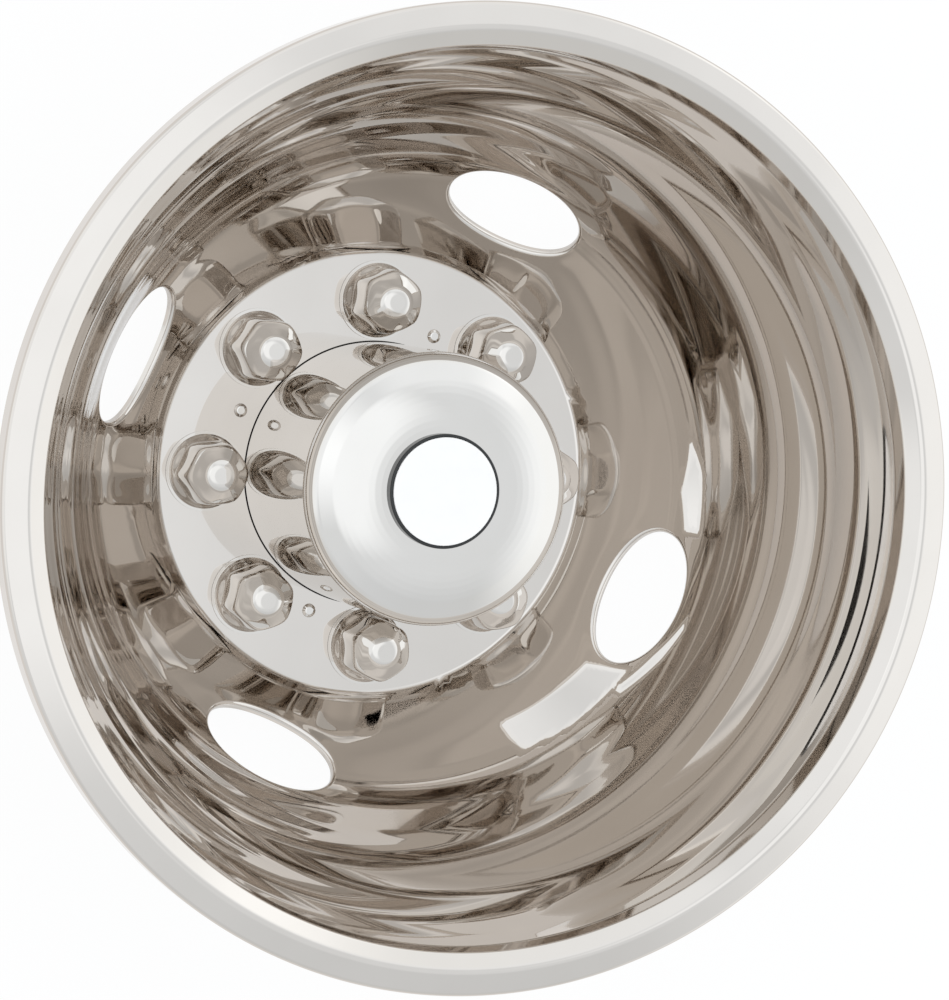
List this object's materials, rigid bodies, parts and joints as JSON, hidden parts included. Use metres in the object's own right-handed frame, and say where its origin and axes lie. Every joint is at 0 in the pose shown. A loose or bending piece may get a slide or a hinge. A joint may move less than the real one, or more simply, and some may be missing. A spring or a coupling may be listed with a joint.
{
  "type": "rear truck wheel simulator",
  "caption": "Deep mirror-polished rear wheel liner with a wide lip, hand holes, hexagonal lug covers and a tall round hub cap.",
  "frame": {"origin": "on the wheel's axis, in the plane of the lug covers' skirt ends, on which the part rests face up", "axes": "+Z along the wheel's axis, out of the wheel; +X 2.2 degrees past the first lug"},
  "size_m": [0.44, 0.4398, 0.1835],
  "materials": {
    "polished_steel": "polished",
    "lug_cover_steel": "polished",
    "spring_steel": "satin",
    "black_plastic": "gloss",
    "white_plastic": "gloss"
  },
  "bodies": {
    "root": {"liner": "polished_steel", "hub_cap": "polished_steel", "badge_plug": "black_plastic", "badge_face": "white_plastic", "lug_cover_1": "lug_cover_steel", "lug_cover_2": "lug_cover_steel", "lug_cover_3": "lug_cover_steel", "lug_cover_4": "lug_cover_steel", "lug_cover_5": "lug_cover_steel", "lug_cover_6": "lug_cover_steel", "lug_cover_7": "lug_cover_steel", "lug_cover_8": "lug_cover_steel", "push_ring_1": "spring_steel", "push_ring_2": "spring_steel", "push_ring_3": "spring_steel", "push_ring_4": "spring_steel", "push_ring_5": "spring_steel", "push_ring_6": "spring_steel", "push_ring_7": "spring_steel", "push_ring_8": "spring_steel", "hub_clip_1": "spring_steel", "hub_clip_2": "spring_steel", "hub_clip_3": "spring_steel", "hub_clip_4": "spring_steel", "rivet_1": "polished_steel", "rivet_2": "polished_steel", "rivet_3": "polished_steel", "rivet_4": "polished_steel"}
  },
  "joints": []
}
